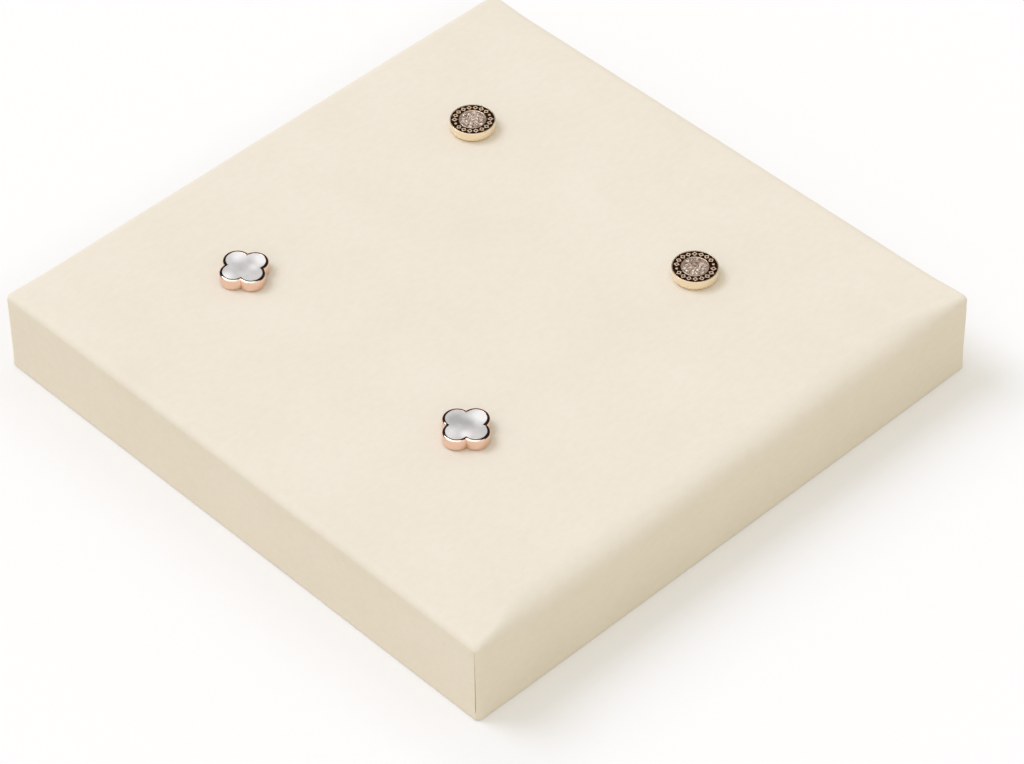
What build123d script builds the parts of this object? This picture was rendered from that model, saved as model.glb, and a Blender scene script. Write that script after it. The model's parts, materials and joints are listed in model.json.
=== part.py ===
from build123d import *

import os
from math import cos, pi, sin, sqrt

# Earring tray: a square pad wrapped in cream microfibre, with two pairs of
# stud earrings pushed into its top. Millimetres, +Z up, and the origin is at
# the middle of the underside, on the table.

os.makedirs("parts", exist_ok=True)

# The wrapped pad
tray_side = 120.0  # over the cover
liner_thickness = 0.4
liner_setback = 3.0  # from the pad's sides to the liner's edges
cover_thickness = 0.8
hem_width = 12.0  # the part of the cover that is turned under the board
board_thickness = 2.5
board_gap = 0.25  # from the board's square edges to the cover
rail_width = 8.0
insert_gap = 0.25  # between the foam insert and the rails
topper_thickness = 2.0
core_corner_radius = 0.7  # upright corners under the cover
core_edge_radius = 1.6  # rolled top edges under the cover
foam_below_tip = 4.0  # from a post's tip down to the board
seam_gap = 0.13
seam_stop = 3.0  # from the top of the pad to the top of a corner seam

# The post of every stud
post_diameter = 0.8
post_length = 10.0  # below the head
post_clearance = 0.05  # all round, in its hole
tip_clearance = 0.7
tip_chamfer = 0.25
notch_setback = 2.2  # from the tip to the middle of the notches
notch_width = 0.5
notch_depth = 0.12
hole_sides = 8  # a pricked hole in soft stuff isn't truly round

# The round head
round_diameter = 8.4
round_thickness = 2.2
round_rim_width = 0.16
round_foot_chamfer = 0.6
enamel_depth = 0.5
enamel_sink = 0.03  # from the rim down to the enamel
collar_width = 0.1  # metal between the enamel and the stones
stone_diameter = 0.88
stone_gap = 0.07
stone_crown = 0.16
stone_pavilion = 0.38
stone_table_share = 0.58
stone_sides = 6
stone_rings = 2  # round the middle stone
grain_height = 0.12
grain_gap = 0.01
grain_sides = 3
plate_margin = 0.09  # from the outer stones to the collar
plate_floor = 0.2  # below the stones' points
plate_sink = 0.07  # from the rim down to the plate

# The border of the round head: lozenges with a dot at every so many places, and
# their sizes in shares of the enamel's width
mark_count = 18
dot_interval = 9
lozenge_length_share = 0.74
lozenge_width_share = 0.68
lozenge_window_share = 0.5
dot_radius_share = 0.16
dot_sides = 6

# The four-lobed head
clover_length = 9.6  # from tip to tip
clover_lobe_radius = 2.55
clover_thickness = 2.4
clover_rim_width = 0.58
clover_rim_chamfer = 0.3
inlay_depth = 0.6
inlay_sink = 0.08  # from the rim down to the inlay
clover_foot_chamfer = 0.35

cut_overrun = 1.0
edge_limit_share = 0.9  # most of a wall that a rounded edge may take

# Where the studs were pushed in, as shares of the side, and how far each is turned
stud_place_shares = {
    "round_stud_a": (-0.2803, 0.2418),
    "round_stud_b": (0.1891, 0.2431),
    "clover_stud_a": (-0.2754, -0.2276),
    "clover_stud_b": (0.1930, -0.2251),
}
stud_turn = {
    "round_stud_a": 67.0,
    "round_stud_b": 55.0,
    "clover_stud_a": -7.5,
    "clover_stud_b": 1.5,
}

# Levels, from the table up
hem_bottom = liner_thickness
board_bottom = hem_bottom + cover_thickness
board_top = board_bottom + board_thickness
foam_depth = post_length + foam_below_tip - cover_thickness - topper_thickness
core_top = board_top + foam_depth
topper_top = core_top + topper_thickness
tray_top = topper_top + cover_thickness

# Sizes that follow
core_side = tray_side - 2 * cover_thickness
core_edge = min(core_edge_radius, edge_limit_share * topper_thickness)
rail_opening = core_side - 2 * rail_width
hem_opening = tray_side - 2 * hem_width
bore_radius = post_diameter / 2 + post_clearance

FROM_BELOW = (Align.CENTER, Align.CENTER, Align.MIN)


def soft_block(side, bottom, top, corner_radius, edge_radius):
    """A square block with round upright corners and rolled top edges that meet in a fold."""
    height = top - bottom
    plan = extrude(RectangleRounded(side, side, corner_radius), height)
    profile = Rectangle(side, height, align=(Align.CENTER, Align.MIN))
    profile = fillet(profile.vertices().group_by(Axis.Y)[-1], edge_radius)
    along_y = extrude(Plane.XZ * profile, side, both=True)
    return Pos(0, 0, bottom) * (plan & along_y & Rot(0, 0, 90) * along_y)


def post_bores():
    """Blind holes for the posts, from the tray's top to just below their tips."""
    depth = post_length + tip_clearance
    outline = RegularPolygon(bore_radius, hole_sides, major_radius=False)
    bore = Pos(0, 0, tray_top - depth) * extrude(outline, depth + cut_overrun)
    return [Pos(x * tray_side, y * tray_side, 0) * bore for x, y in stud_place_shares.values()]


def cover_shell():
    """The wrapped microfibre: top, sides, and a hem turned under the board."""
    shell = soft_block(
        tray_side,
        hem_bottom,
        tray_top,
        core_corner_radius + cover_thickness,
        core_edge + cover_thickness,
    )
    shell -= soft_block(core_side, board_bottom, topper_top, core_corner_radius, core_edge)
    shell -= Box(hem_opening, hem_opening, board_bottom + cut_overrun, align=FROM_BELOW)
    # One upright cut at each corner is also the mitre of the hem
    reach = (hem_width + cut_overrun) * sqrt(2)
    height = tray_top - seam_stop
    cut = Pos(tray_side / sqrt(2) + cut_overrun, 0, 0) * Box(
        reach, seam_gap, height, align=(Align.MAX, Align.CENTER, Align.MIN)
    )
    for corner in range(4):
        shell -= Rot(0, 0, 45 + 90 * corner) * cut
    return shell


def frame_rails():
    """Four rails round the foam, mitred where they meet."""
    ring = RectangleRounded(core_side, core_side, core_corner_radius)
    ring -= Rectangle(rail_opening, rail_opening)
    quarter = Polygon((0, 0), (core_side, -core_side), (core_side, core_side), align=None)
    rail = Pos(0, 0, board_top) * extrude(ring & quarter, foam_depth)
    sides = ("right", "back", "left", "front")
    return {f"frame_rail_{name}": Rot(0, 0, 90 * i) * rail for i, name in enumerate(sides)}


def tray_parts():
    cover = cover_shell()
    topper = soft_block(core_side, core_top, topper_top, core_corner_radius, core_edge)
    insert_side = rail_opening - 2 * insert_gap
    insert = Pos(0, 0, board_top) * Box(insert_side, insert_side, foam_depth, align=FROM_BELOW)
    for bore in post_bores():
        cover -= bore
        topper -= bore
        insert -= bore
    board_side = core_side - 2 * board_gap
    board = Box(board_side, board_side, board_thickness, align=FROM_BELOW)
    liner_side = tray_side - 2 * liner_setback
    return {
        "wrap_cover": cover,
        "foam_topper": topper,
        "foam_insert": insert,
        "base_board": Pos(0, 0, board_bottom) * board,
        "base_liner": Box(liner_side, liner_side, liner_thickness, align=FROM_BELOW),
        **frame_rails(),
    }


def turned(*points):
    """A solid of revolution about the upright axis, from points of (radius, height)."""
    return revolve(Plane.XZ * Polygon(*points, align=None), Axis.Z)


def faceted(levels, sides):
    """Flat facets through a stack of (height, radius) polygons, where no radius is a point."""
    turns = [2 * pi * side / sides for side in range(sides)]
    rings = [[(r * cos(turn), r * sin(turn), z) for turn in turns] for z, r in levels]
    outlines = [ring for ring in (rings[0], rings[-1]) if ring[0] != ring[1]]
    for low, high in zip(rings, rings[1:]):
        for side in range(sides):
            corners = (low[side - 1], low[side], high[side], high[side - 1])
            outlines.append(list(dict.fromkeys(corners)))
    return Solid(Shell([Face(Wire.make_polygon(outline)) for outline in outlines]))


def stud_post():
    """A pin below the head, with a pointed tip and two side notches for an earring back."""
    radius = post_diameter / 2
    tip = -post_length
    pin = turned(
        (0, tip),
        (radius - tip_chamfer, tip),
        (radius, tip + tip_chamfer),
        (radius, 0),
        (0, 0),
    )
    notches = Box(post_diameter + cut_overrun, post_diameter, notch_width)
    notches -= Box(post_diameter - 2 * notch_depth, post_diameter, notch_width)
    return pin - Pos(0, 0, tip + notch_setback) * notches


def stone_spot(across, along):
    """The place of a stone on a triangular grid."""
    pitch = stone_diameter + stone_gap
    return pitch * (across + along / 2), pitch * along * sqrt(3) / 2


def stone_grid():
    span = range(-stone_rings, stone_rings + 1)
    return [(a, b) for a in span for b in span if abs(a + b) <= stone_rings]


def grain_spots():
    """The middle of each triangle of three stones."""
    grid = stone_grid()
    spots = []
    for a, b in grid:
        for trio in (((a, b), (a + 1, b), (a, b + 1)), ((a, b), (a + 1, b), (a + 1, b - 1))):
            if all(place in grid for place in trio):
                places = [stone_spot(*place) for place in trio]
                spots.append(tuple(sum(axis) / 3 for axis in zip(*places)))
    return spots


def round_head():
    """A coin-shaped case, its enamel border, and a plate of small set stones."""
    radius = round_diameter / 2
    rim_radius = radius - round_rim_width
    pitch = stone_diameter + stone_gap
    plate_radius = stone_rings * pitch + stone_diameter / 2 + plate_margin
    collar_radius = plate_radius + collar_width
    plate_top = round_thickness - plate_sink
    plate_thickness = stone_pavilion + plate_floor
    plate_bottom = plate_top - plate_thickness

    # The marks of the border stand in the enamel, level with the rim
    width = rim_radius - collar_radius
    length = lozenge_length_share * width / 2
    half = lozenge_width_share * width / 2
    lozenge = Polygon((length, 0), (0, half), (-length, 0), (0, -half))
    lozenge -= scale(lozenge, lozenge_window_share)
    dot = RegularPolygon(dot_radius_share * width, dot_sides)
    middle = Pos((rim_radius + collar_radius) / 2, 0, 0)
    border = Circle(rim_radius) - Circle(collar_radius)
    for number in range(mark_count):
        mark = lozenge if number % dot_interval else dot
        border -= Rot(0, 0, 360 * number / mark_count) * middle * mark

    enamel_floor = Pos(0, 0, round_thickness - enamel_depth)
    enamel = enamel_floor * extrude(border, enamel_depth - enamel_sink)
    case = turned(
        (0, 0),
        (radius - round_foot_chamfer, 0),
        (radius, round_foot_chamfer),
        (radius, round_thickness),
        (plate_radius, round_thickness),
        (plate_radius, plate_bottom),
        (0, plate_bottom),
    )
    case -= enamel_floor * extrude(border, enamel_depth + cut_overrun)

    stone = faceted(
        (
            (-stone_pavilion, 0),
            (0, stone_diameter / 2),
            (stone_crown, stone_table_share * stone_diameter / 2),
        ),
        stone_sides,
    )
    stones = [Pos(*stone_spot(a, b), plate_top) * stone for a, b in stone_grid()]
    plate = Pos(0, 0, plate_bottom) * Cylinder(plate_radius, plate_thickness, align=FROM_BELOW)
    plate -= stones
    grain_radius = pitch / sqrt(3) - stone_diameter / 2 - grain_gap
    grain = faceted(((0, grain_radius), (grain_height, 0)), grain_sides)
    plate += [Pos(x, y, plate_top) * grain for x, y in grain_spots()]
    return {"case": case, "enamel": enamel, "plate": plate, "stones": Compound(stones)}


def quatrefoil(inset):
    """Four round lobes on one face, drawn the given distance inside the head's outline."""
    middle = clover_length / 2 - clover_lobe_radius
    radius = clover_lobe_radius - inset
    notch = (middle + sqrt(2 * radius**2 - middle**2)) / 2  # where two lobes meet
    lobe = ThreePointArc((notch, -notch), (middle + radius, 0), (notch, notch))
    return make_face([Rot(0, 0, 90 * i) * lobe for i in range(4)])


def clover_head():
    """A four-lobed case with a shell inlay, its foot and rim bevelled outside."""
    case = extrude(quatrefoil(0), clover_thickness)
    case = chamfer(case.edges().group_by(Axis.Z)[0], clover_foot_chamfer)
    case = chamfer(case.edges().group_by(Axis.Z)[-1], clover_rim_chamfer)
    floor = Pos(0, 0, clover_thickness - inlay_depth)
    opening = quatrefoil(clover_rim_width)
    case -= floor * extrude(opening, inlay_depth + cut_overrun)
    inlay = floor * extrude(opening, inlay_depth - inlay_sink)
    return {"case": case, "inlay": inlay}


def stud_parts():
    heads = {"round": round_head(), "clover": clover_head()}
    post = stud_post()
    parts = {}
    for stud, (x, y) in stud_place_shares.items():
        place = Pos(x * tray_side, y * tray_side, tray_top) * Rot(0, 0, stud_turn[stud])
        pieces = {**heads[stud.split("_")[0]], "post": post}
        for piece, shape in pieces.items():
            parts[f"{stud}_{piece}"] = place * shape
    return parts


for node, shape in {**tray_parts(), **stud_parts()}.items():
    export_step(shape, f"parts/{node}.step")
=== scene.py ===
import json
from contextlib import contextmanager
from math import asin, atan2, cos, exp, hypot, pi, radians, sin, sqrt, tau

import bmesh
import bpy
from bpy.props import FloatProperty, FloatVectorProperty, IntProperty, PointerProperty
from mathutils import Matrix, Vector, noise

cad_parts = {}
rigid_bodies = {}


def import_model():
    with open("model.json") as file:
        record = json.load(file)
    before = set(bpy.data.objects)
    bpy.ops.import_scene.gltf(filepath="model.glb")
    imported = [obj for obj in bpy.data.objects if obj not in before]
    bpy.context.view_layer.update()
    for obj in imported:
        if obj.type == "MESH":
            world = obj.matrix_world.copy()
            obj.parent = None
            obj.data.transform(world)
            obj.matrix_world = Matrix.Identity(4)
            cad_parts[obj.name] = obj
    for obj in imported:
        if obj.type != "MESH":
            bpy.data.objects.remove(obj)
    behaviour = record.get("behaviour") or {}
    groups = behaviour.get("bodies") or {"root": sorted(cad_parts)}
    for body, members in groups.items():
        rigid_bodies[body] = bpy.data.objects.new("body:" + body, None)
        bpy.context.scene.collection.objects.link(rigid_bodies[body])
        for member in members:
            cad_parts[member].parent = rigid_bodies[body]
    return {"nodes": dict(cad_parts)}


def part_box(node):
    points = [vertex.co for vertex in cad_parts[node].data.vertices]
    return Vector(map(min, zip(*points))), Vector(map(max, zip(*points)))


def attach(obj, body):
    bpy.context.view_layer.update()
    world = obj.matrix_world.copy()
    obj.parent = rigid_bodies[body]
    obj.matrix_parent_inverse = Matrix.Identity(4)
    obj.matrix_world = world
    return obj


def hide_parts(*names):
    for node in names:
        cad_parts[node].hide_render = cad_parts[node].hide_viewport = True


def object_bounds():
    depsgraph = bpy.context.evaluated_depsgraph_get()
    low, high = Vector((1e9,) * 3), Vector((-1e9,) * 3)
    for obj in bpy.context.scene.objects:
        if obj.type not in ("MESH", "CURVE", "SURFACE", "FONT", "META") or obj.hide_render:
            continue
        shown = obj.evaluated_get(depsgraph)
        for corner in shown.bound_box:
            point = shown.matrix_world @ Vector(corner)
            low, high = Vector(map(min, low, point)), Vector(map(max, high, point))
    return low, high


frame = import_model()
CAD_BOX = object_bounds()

bl_info = {
    "name": "Earring Tray",
    "version": (1, 0, 0),
    "blender": (4, 5, 0),
    "location": "View3D > Sidebar > Tray",
    "description": "Dresses a padded earring tray: cover, foam, liner and two pairs of studs",
    "category": "Add Mesh",
}

MM = 0.001
METRE = 1.0
ORIGIN = (0.0, 0.0, 0.0)
UNSCALED = (1.0, 1.0, 1.0)
ROUND_STUDS = ("round_stud_a", "round_stud_b")
CLOVER_STUDS = ("clover_stud_a", "clover_stud_b")
STUDS = ROUND_STUDS + CLOVER_STUDS
PAINTED_CENTRE_SHADE = "painted_centre_shade"  # attribute of the stones for their painted shade: 1 in the middle of a stone and 0 outside
TOUCHING = 1e-6  # metres, between points that count as level
SHARP = 0.5  # radians between the faces of an edge that gets rounded
CLOTH_SEED = 1  # of the cloth's unevenness. Without one, it follows the clock

# Drifts in each shell, partly its own tone and partly painted sheen and shade: millimetres from its
# middle along X and Y, reach and strength
SHELL_TONE_AND_SHEEN_DRIFTS = {
    "clover_stud_a": (
        (-2.8, 1.6, 2.9, 0.45),
        (0.8, 3.6, 2.6, 0.55),
        (1.4, 1.0, 1.4, 0.3),
        (-0.2, -4.1, 1.9, 0.45),
        (-0.5, -0.4, 2.2, -0.1),
    ),
    "clover_stud_b": (
        (0.3, 3.4, 3.1, 0.55),
        (1.7, -1.7, 1.6, 0.45),
        (-0.3, -3.4, 2.0, 0.22),
        (-2.0, -0.8, 2.6, -0.3),
        (0.2, 0.6, 2.2, -0.2),
    ),
}

# How far each form of the cover reaches before it fades
GRID_REACH = 9 * MM  # in from the roll, where the flat top follows its edge
FLARE_RISE = 1.5 * MM  # up from the foot, the flare
UNDER_REACH = 4 * MM  # in under the board, the flare and the sag
BULGE_DROP = 3 * MM  # down from the roll, where the sides stand back most
LEAN_DROP = 8 * MM  # down from the roll, the lean of the slack side
BACK_FADE, LEFT_FADE = 1.5, 2  # powers of the way along a side that its droop grows by

# The curve of a roll, in shares of its height or width
MOST_ROLL = 0.95  # of the whole side
UP_HANDLE, ACROSS_HANDLE, SLACK_TILT = 0.55, 0.6, 0.45

# The border's marks, in shares of the border's width, and a lozenge's window as a share of it
LOZENGE_LENGTH, LOZENGE_WIDTH, DOT_RADIUS, WINDOW = 0.74, 0.68, 0.16, 0.5
MARK_ROOT, MARK_SINK = 0.02 * MM, 0.005 * MM  # into the cup's floor, and below the rim

# The stones
TABLE_INSETS = (0.18, 0.14)  # shares of the table, for the rings round the painted shade in its middle
DRILL_PLAY = (1.02, 1.02, 1.0)  # how much wider a seat is than its stone
BEAD_SQUASH = (1, 1, 0.9)


def span(node):
    """Width, depth and height of a CAD node."""
    low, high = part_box(node)
    return high - low


def number(name, description, default, **form):
    """A number that a user may change."""
    return FloatProperty(name=name, description=description, default=default, **form)


def length(name, description, default, unit=MM):
    """In millimetres, unless another unit is given."""
    return number(name, description, default * unit, min=0.0, unit="LENGTH", precision=5)


def angle(name, description, default):
    """In degrees."""
    return number(name, description, radians(default), subtype="ANGLE")


def count(name, description, default, least):
    return IntProperty(name=name, description=description, default=default, min=least)


def colour(name, description, default):
    form = {"min": 0.0, "max": 1.0, "subtype": "COLOR"}
    return FloatVectorProperty(name=name, description=description, default=default, **form)


class CoverSizes(bpy.types.PropertyGroup):
    """The microfibre cover. Its outer sizes come from the frame."""

    side: length("Side", "Width of the wrapped pad", span("wrap_cover").x, METRE)
    bottom: length("Underside", "From the table up to the hem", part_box("wrap_cover")[0].z, METRE)
    top: length("Top", "Height of the padded top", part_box("wrap_cover")[1].z, METRE)
    thickness: length("Thickness", "Thickness of the microfibre", 0.8)
    hem: length("Hem", "Width of the hem under the board", 12)
    corner: length("Corner radius", "Radius of the upright corners", 1.0)
    roll: length("Top roll", "Height of the soft roll along the top of the near side", 1.4)
    roll_width: length("Roll width", "Width of the same", 1.7)
    far_roll: length("Far roll", "Height of the roll on the far left side", 1.9)
    far_width: length("Far width", "Width of the same", 2.2)
    back_roll: length("Back roll", "Height of the roll on the back side", 2.1)
    back_width: length("Back width", "Width of the same", 3.3)
    slack_roll: length("Slack roll", "Height on the right side, where the cloth is looser", 2.9)
    slack_width: length("Slack width", "Width of the same", 6.0)
    slack_lean: length("Slack lean", "How far the right side leans in below its roll", 0.35)
    corner_roll: length("Corner roll", "Size at the corners, where the cloth is tight", 1.3)
    corner_reach: length("Corner reach", "How far the corners tighten the roll", 4.5)
    slack_reach: length("Slack reach", "The same along the right side", 7)
    droop: length("Droop", "How far the top droops along its right and back sides", 0.15)
    back_droop: length("Back droop", "How much more it droops along the back, at its left end", 0.9)
    left_droop: length("Left droop", "How much more along the far left side, at its near end", 0.8)
    droop_reach: length("Droop reach", "Width of the drooping border", 5)
    bulge: length("Bulge", "How far the sides stand back under the foam", 0.1)
    flare: length("Flare", "How far the foot of the cloth stands out", 0.12)
    sag: length("Sag", "How far the fold sags to the table outside the liner", 0.38)
    fold: length("Bottom fold", "Radius of the fold under the board", 0.25)
    seam_stop: length("Seam stop", "From the top down to the top of a corner seam", 2.4)
    seam_depth: length("Seam depth", "Depth of the corner seams at the foot", 0.35)
    seam_turn: angle("Seam turn", "From a corner's middle to its seam, seen from above", -22.5)
    unevenness: length("Unevenness", "How far the cloth wanders from flat", 0.03)


class PaddingSizes(bpy.types.PropertyGroup):
    """The foam and the paper under the cover."""

    foam_roll: length("Foam roll", "Radius of the topper's upper edges", 1.6)
    foam_ease: length("Foam ease", "How much rounder the topper is than its cover", 0.5)
    foam_corner: length("Foam corner", "Radius of the topper's upright corners", 0.7)
    cut_edge: length("Cut edge", "Softness of the insert's cut edges", 0.4)
    hole: length("Hole radius", "Radius of the holes for the posts", 0.45)
    paper: length("Paper", "Thickness of the liner", 0.3)
    step: length("Step", "How far the liner sinks inside the hem", 0.5)
    step_width: length("Step width", "Width of the soft step at the hem's edge", 1.6)


class RoundSizes(bpy.types.PropertyGroup):
    """The round heads."""

    rim: length("Rim", "Width of the rim round the enamel", 0.16)
    rim_bead: length("Rim bead", "Radius of the bright bead along the rim", 0.1)
    rim_polish: length("Rim polish", "Radius of the rim's and the collar's edges", 0.045)
    foot: length("Foot", "Radius of the rounded foot", 0.85)
    channel: length("Channel", "Depth of the enamel", 0.5)
    enamel_sink: length("Enamel sink", "From the rim down to the enamel", 0.03)
    collar: length("Collar", "Width of the metal round the stones", 0.1)
    stone: length("Stone", "Diameter of a stone", 0.88)
    stone_gap: length("Stone gap", "Between two stones", 0.07)
    crown: length("Crown", "Height of a stone above its girdle", 0.16)
    pavilion: length("Pavilion", "Depth of a stone below its girdle", 0.38)
    table: number("Table", "As a share of the stone", 0.58, min=0.0, subtype="FACTOR")
    plate_margin: length("Plate margin", "From the outer stones to the collar", 0.09)
    plate_floor: length("Plate floor", "Below the points of the stones", 0.2)
    plate_sink: length("Plate sink", "From the rim down to the plate", 0.07)
    bead: length("Bead", "Radius of the beads between the stones", 0.12)
    marks: count("Marks", "Places round the border", 18, least=3)
    dot_interval: count("Dot interval", "Places from dot to dot", 9, least=1)
    mark_edge: length("Mark edge", "Radius of the marks' upper edges", 0.018)
    turn_a: angle("Turn of the first", "How far the first round stud is turned", 67)
    turn_b: angle("Turn of the second", "How far the second round stud is turned", 55)


class CloverSizes(bpy.types.PropertyGroup):
    """The four-lobed heads."""

    tip_to_tip: length("Length", "From lobe to lobe", 9.6)
    lobe: length("Lobe", "Radius of a lobe", 2.55)
    wall: length("Wall", "Width of the rim", 0.58)
    round: length("Round", "Radius of the rim's outer edge", 0.40)
    recess: length("Recess", "Depth of the cup", 0.6)
    foot: length("Foot", "Radius of the rounded foot", 0.55)
    polish: length("Polish", "Radius of the inner polished edge", 0.06)
    crown: length("Crown", "How far the inlay swells", 0.10)
    inlay_sink: length("Inlay sink", "From the rim down to the inlay's edge", 0.06)
    turn_a: angle("Turn of the first", "How far the first clover stud is turned", -7.5)
    turn_b: angle("Turn of the second", "How far the second clover stud is turned", 1.5)


class Colours(bpy.types.PropertyGroup):
    """Linear colours of the finishes."""

    cloth: colour("Microfibre", "Microfibre's nap", (0.890, 0.817, 0.700))
    cloth_deep: colour("Microfibre pile", "Between the fibres of the nap", (0.835, 0.758, 0.637))
    foam: colour("Foam", "Cut foam", (0.88, 0.86, 0.80))
    fibreboard: colour("Fibreboard", "Frame rails", (0.50, 0.36, 0.22))
    greyboard: colour("Greyboard", "Base board", (0.42, 0.40, 0.37))
    paper: colour("Liner paper", "Embossed liner paper", (0.80, 0.74, 0.63))
    gold: colour("Yellow gold", "Round cases and posts", (1.0, 0.85, 0.63))
    # Painted highlight: a pale, nearly matt colour that stands for the polished bead's bright
    # reflection
    rim: colour("Bright rim", "Bright bead round the border", (1.0, 0.90, 0.76))
    marks: colour("Raised marks", "Satin tops of the border's marks", (0.90, 0.66, 0.46))
    rose: colour("Rose gold", "Clover cases and posts", (0.95, 0.69, 0.57))
    pale: colour("Pale gold", "Plate and beads under the stones", (0.62, 0.46, 0.37))
    enamel: colour("Enamel", "Round border", (0.014, 0.004, 0.001))
    # The stones' colours are painted light: the first is made into painted glints and painted
    # shaded facets, the second is painted shade in the middle of each stone
    stone: colour("Stone", "Small set stones", (0.52, 0.37, 0.275))
    stone_painted_shade: colour("Stone's heart", "Dark points in the stones", (0.045, 0.03, 0.022))
    shell: colour("Shell", "Mother-of-pearl", (0.68, 0.665, 0.65))
    # The shell's darkest and brightest tones: partly its own, and partly painted shade and painted
    # sheen
    shell_shade: colour("Shell shade", "Darkest drifts in the shell", (0.47, 0.465, 0.46))
    shell_bright_and_painted_sheen: colour("Shell glow", "Brightest drifts in the shell", (0.97, 0.955, 0.94))
    shell_blush: colour("Shell blush", "Rosy clouds in the shell", (0.80, 0.68, 0.67))


class StageSizes(bpy.types.PropertyGroup):
    """Camera, lamps and floor."""

    azimuth: angle("Azimuth", "Camera's turn round the tray", 46.25)
    elevation: angle("Elevation", "Camera's height over the floor", 43.92)
    roll: angle("Roll", "Camera's roll", -0.67)
    distance: length("Distance", "From the camera to the point that it aims at", 756.1)
    aim_x: number("Aim X", "Aim point along X", 6.144 * MM, unit="LENGTH")
    aim_y: number("Aim Y", "Aim point along Y", 0.132 * MM, unit="LENGTH")
    lens: number("Lens", "Focal length in millimetres", 149.6)
    key: number("Key", "Strength of the soft key lamp", 1.12)
    key_tint: colour("Key tint", "Colour of the key lamp", (0.735, 0.795, 1.0))
    key_size: angle("Key size", "Angle that the key lamp fills", 30)
    key_azimuth: angle("Key azimuth", "Where the key stands, from +X towards +Y", 206)
    key_height: angle("Key height", "Elevation of the key", 55)
    fill: number("Fill", "Strength of the light from all round", 0.80)
    fill_tint: colour("Fill tint", "Colour of the light from all round", (1.0, 0.975, 0.90))
    panel: number("Panel", "Brightness of the panel in reflections", 1.7)
    panel_azimuth: angle("Panel azimuth", "Where the bright panel in reflections stands", 262)
    panel_height: angle("Panel height", "Elevation of the bright panel", 58)
    glow_azimuth: angle("Glow azimuth", "Where the second light in reflections stands", 344)
    glow_height: angle("Glow height", "Elevation of the second light", 35)
    ceiling: colour("Ceiling", "The dark rest of what is reflected", (0.02, 0.02, 0.02))
    floor: colour("Floor", "Floor in view", (0.84, 0.835, 0.83))
    # Painted shadow and painted warm bounce light on the floor beside the tray: a share of the
    # floor's colour, which fades out between the two distances below
    floor_painted_shade: colour("Floor warmth", "Its share beside the tray", (0.955, 0.950, 0.949))
    painted_shade_from: length("Warm from", "From the tray's side to where the warmth starts to fade", 11)
    painted_shade_to: length("Warm to", "From the tray's side to where it ends", 25)
    painted_shade_shift: length("Warm shift", "How much nearer it ends in front of the left side", 8)
    floor_bounce: colour("Floor bounce", "Light off the floor", (0.80, 0.76, 0.66))
    floor_lift: number("Floor lift", "White added to the floor for the camera alone", 0.15)
    floor_side: length("Floor side", "Width of the floor", 6.0, METRE)


GROUPS = {
    "tray_cover": CoverSizes,
    "tray_padding": PaddingSizes,
    "tray_round": RoundSizes,
    "tray_clover": CloverSizes,
    "tray_colours": Colours,
    "tray_stage": StageSizes,
}


# Modelling by hand


def only(*pieces):
    """Selects these pieces alone, and makes the first one active."""
    for other in bpy.context.view_layer.objects:
        other.select_set(False)
    for piece in pieces:
        piece.select_set(True)
    bpy.context.view_layer.objects.active = pieces[0]


def settle(piece):
    """Puts the object's place, turn and scale into its mesh."""
    only(piece)
    bpy.ops.object.transform_apply(location=True, rotation=True, scale=True)
    return piece


def add(primitive, name, scale=UNSCALED, **settings):
    """A new primitive, settled."""
    primitive(**settings)
    piece = bpy.context.object
    piece.name = piece.data.name = name
    piece.scale = scale
    return settle(piece)


@contextmanager
def editing(piece):
    """Edit mode on one piece, with nothing selected in it."""
    only(piece)
    bpy.ops.object.mode_set(mode="EDIT")
    bpy.ops.mesh.select_all(action="DESELECT")
    yield
    bpy.ops.object.mode_set(mode="OBJECT")


def select_all():
    bpy.ops.mesh.select_all(action="SELECT")


def pick(kind, test):
    """Selects the edges or faces of the mesh in edit mode that pass a test."""
    bpy.ops.mesh.select_mode(type=kind)
    bpy.ops.mesh.select_all(action="DESELECT")
    data = bpy.context.object.data
    mesh = bmesh.from_edit_mesh(data)
    for element in {"EDGE": mesh.edges, "FACE": mesh.faces}[kind]:
        if test(element):
            element.select_set(True)
    mesh.select_flush_mode()
    bmesh.update_edit_mesh(data)


def middle(element):
    """The middle of an edge or face."""
    return sum((v.co for v in element.verts), Vector()) / len(element.verts)


def as_high_as(height, element):
    """Whether all of an edge or face reaches a height."""
    return all(v.co.z > height - TOUCHING for v in element.verts)


def is_sharp(edge):
    return edge.calc_face_angle(0) > SHARP


def extrude(rise):
    bpy.ops.mesh.extrude_region_move(TRANSFORM_OT_translate={"value": (0, 0, rise)})


def follow(profile):
    """Carries the selected loop through (radius, height) points, from the first to the last."""
    for (r0, z0), (r1, z1) in zip(profile, profile[1:]):
        extrude(z1 - z0)
        bpy.ops.transform.resize(value=(r1 / r0, r1 / r0, 1), center_override=ORIGIN)


def round_off(radius, segments):
    bpy.ops.mesh.bevel(offset=radius, segments=segments, affect="EDGES")


def face_outwards():
    select_all()
    bpy.ops.mesh.remove_doubles(threshold=1e-7)
    bpy.ops.mesh.normals_make_consistent(inside=False)


def turned(name, profile):
    """A solid made by carrying a circle through its profile and filling both ends."""
    radius, height = profile[0]
    circle = {"vertices": 96, "radius": radius, "location": (0, 0, height)}
    piece = add(bpy.ops.mesh.primitive_circle_add, name, **circle)
    with editing(piece):
        select_all()
        follow(profile)
        select_all()
        bpy.ops.mesh.fill_holes(sides=0)
        face_outwards()
    return piece


def peg(name, radius, bottom, top, x=0.0, y=0.0):
    """An upright pin."""
    size = {"vertices": 16, "radius": radius, "depth": top - bottom}
    place = (x, y, (top + bottom) / 2)
    return add(bpy.ops.mesh.primitive_cylinder_add, name, location=place, **size)


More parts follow.
